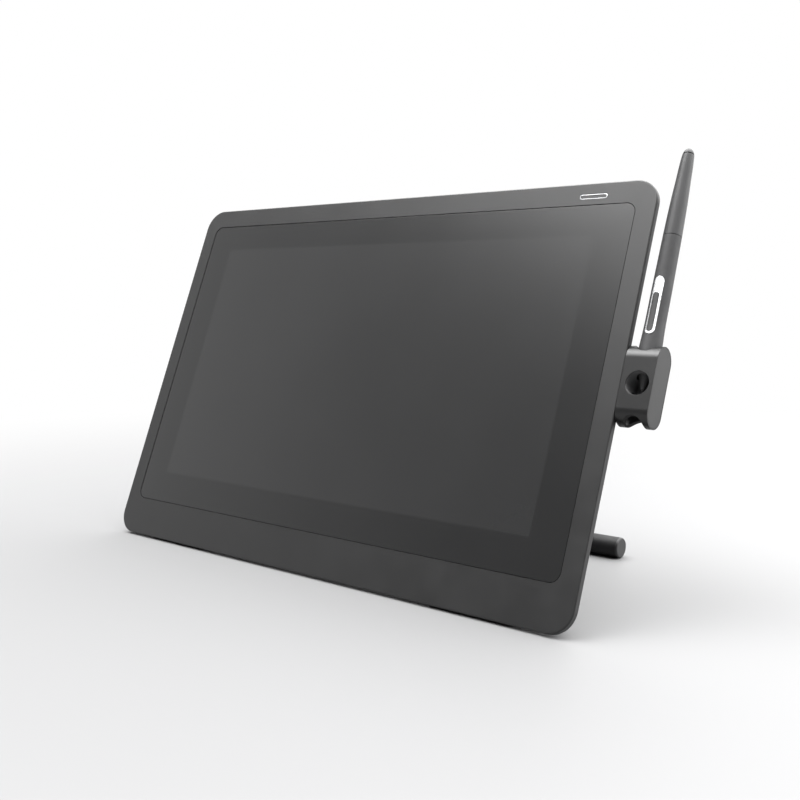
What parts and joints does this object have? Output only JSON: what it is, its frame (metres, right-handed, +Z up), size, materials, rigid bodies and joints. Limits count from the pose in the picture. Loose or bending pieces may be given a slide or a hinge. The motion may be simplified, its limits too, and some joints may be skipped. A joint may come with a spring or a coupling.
{
  "type": "pen drawing tablet",
  "caption": "Glass-fronted pen drawing tablet tilted on a hinged rear stand, with a pen standing upright in a pull-off side holder.",
  "frame": {"origin": "centre of the footprint of the whole object, pen holder included, on the table top", "axes": "+X to the right along the screen's long side, +Y to the back, +Z up; the screen leans back 22 degrees from upright"},
  "size_m": [0.4426, 0.1876, 0.2823],
  "materials": {
    "housing": "fine matt texture",
    "cover_glass": "anti-glare etched",
    "black_film": "printed",
    "panel": "polarizer film",
    "white_plastic": "moulded",
    "circuit_board": "solder mask",
    "steel": "rolled",
    "steel_dark": "blackened",
    "aluminium": "cast",
    "component": "moulded",
    "flex": "film",
    "rubber": "matt",
    "chrome": "polished",
    "button": "satin",
    "stand_metal": "powder coat",
    "lever": "satin",
    "brass": "turned",
    "foot_cap": "satin",
    "holder": "fine matt texture",
    "holder_cap": "satin",
    "nib": "polished tip",
    "pen_hard": "satin",
    "pen_grip": "soft touch",
    "copper": "enamelled wire"
  },
  "bodies": {
    "display": {"front_bezel": "housing", "cover_glass": "cover_glass", "glass_adhesive": "black_film", "printed_border": "black_film", "lcd_panel": "panel", "backlight_unit": "white_plastic", "digitizer_board": "circuit_board", "shield_plate": "steel", "chassis_tray": "aluminium", "main_board": "circuit_board", "board_components": "component", "board_shield": "steel", "board_screws": "steel", "panel_driver_board": "circuit_board", "panel_flex": "flex", "port_socket": "component", "holder_socket_left": "component", "holder_socket_right": "component", "rear_housing": "housing", "housing_screws": "steel_dark", "base_strips": "rubber", "rear_feet": "rubber", "power_button_ring": "chrome", "button_board": "circuit_board", "stand_bracket": "stand_metal", "bracket_screws": "steel_dark", "hinge_pins": "steel", "friction_washers": "brass", "lever_pins": "steel"},
    "power_button": {"power_button_cap": "button"},
    "port_cover": {"port_cover": "housing"},
    "release_lever_left": {"release_lever_left": "lever"},
    "release_lever_right": {"release_lever_right": "lever"},
    "stand": {"hinge_bushes": "brass", "stand_arm_left": "stand_metal", "stand_arm_right": "stand_metal", "stand_cross_panel": "stand_metal", "stand_screws": "steel_dark", "foot_bar": "stand_metal", "foot_sleeves": "rubber", "foot_end_caps": "foot_cap"},
    "pen_holder": {"holder_shell": "holder", "holder_end_cap": "holder_cap", "nib_tray": "component", "spare_nibs": "nib", "nib_remover": "steel"},
    "pen": {"pen_nose": "pen_hard", "pen_grip": "pen_grip", "pen_barrel": "pen_hard", "pen_seam_ring": "component", "pen_switch_bezel": "chrome", "pen_circuit_board": "circuit_board", "pen_coil": "copper", "pen_sensor": "component"},
    "pen_nib": {"pen_nib": "nib"},
    "pen_rocker": {"pen_rocker": "button"},
    "pen_eraser": {"pen_eraser": "pen_hard"}
  },
  "joints": [
    {"name": "stand_hinge", "type": "hinge", "parent": "display", "child": "stand", "pos_m": [-0.01035, -0.00069, 0.14261], "axis": [1, 0, 0], "range_deg": [-54.79, 96.8]},
    {"name": "power_button_press", "type": "slide", "parent": "display", "child": "power_button", "axis": [0, 0.9272, -0.3746], "range_m": [0, 0.0005], "stiffness_N_per_m": 800},
    {"name": "port_cover_lift", "type": "slide", "parent": "display", "child": "port_cover", "axis": [0, 0.9272, -0.3746], "range_m": [0, 0.012]},
    {"name": "release_lever_left_squeeze", "type": "hinge", "parent": "display", "child": "release_lever_left", "pos_m": [-0.03435, 0.0047, 0.17063], "axis": [0, 0.9272, -0.3746], "range_deg": [0, 10], "stiffness_Nm_per_rad": 0.4},
    {"name": "release_lever_right_squeeze", "type": "hinge", "parent": "display", "child": "release_lever_right", "pos_m": [0.01365, 0.0047, 0.17063], "axis": [0, -0.9272, 0.3746], "range_deg": [0, 10], "stiffness_Nm_per_rad": 0.4},
    {"name": "pen_holder_pull", "type": "slide", "parent": "display", "child": "pen_holder", "axis": [1, 0, 0], "range_m": [0, 0.02]},
    {"name": "pen_lift", "type": "slide", "parent": "pen_holder", "child": "pen", "axis": [0, 0.3746, 0.9272], "range_m": [0, 0.035]},
    {"name": "pen_nib_press", "type": "slide", "parent": "pen", "child": "pen_nib", "axis": [0, 0.3746, 0.9272], "range_m": [0, 0.0005], "stiffness_N_per_m": 500},
    {"name": "pen_rocker_tilt", "type": "hinge", "parent": "pen", "child": "pen_rocker", "pos_m": [0.21095, -0.01651, 0.18222], "axis": [1, 0, 0], "range_deg": [-1.5, 1.5], "stiffness_Nm_per_rad": 0.02},
    {"name": "pen_eraser_press", "type": "slide", "parent": "pen", "child": "pen_eraser", "axis": [0, -0.3746, -0.9272], "range_m": [0, 0.0005], "stiffness_N_per_m": 500}
  ]
}
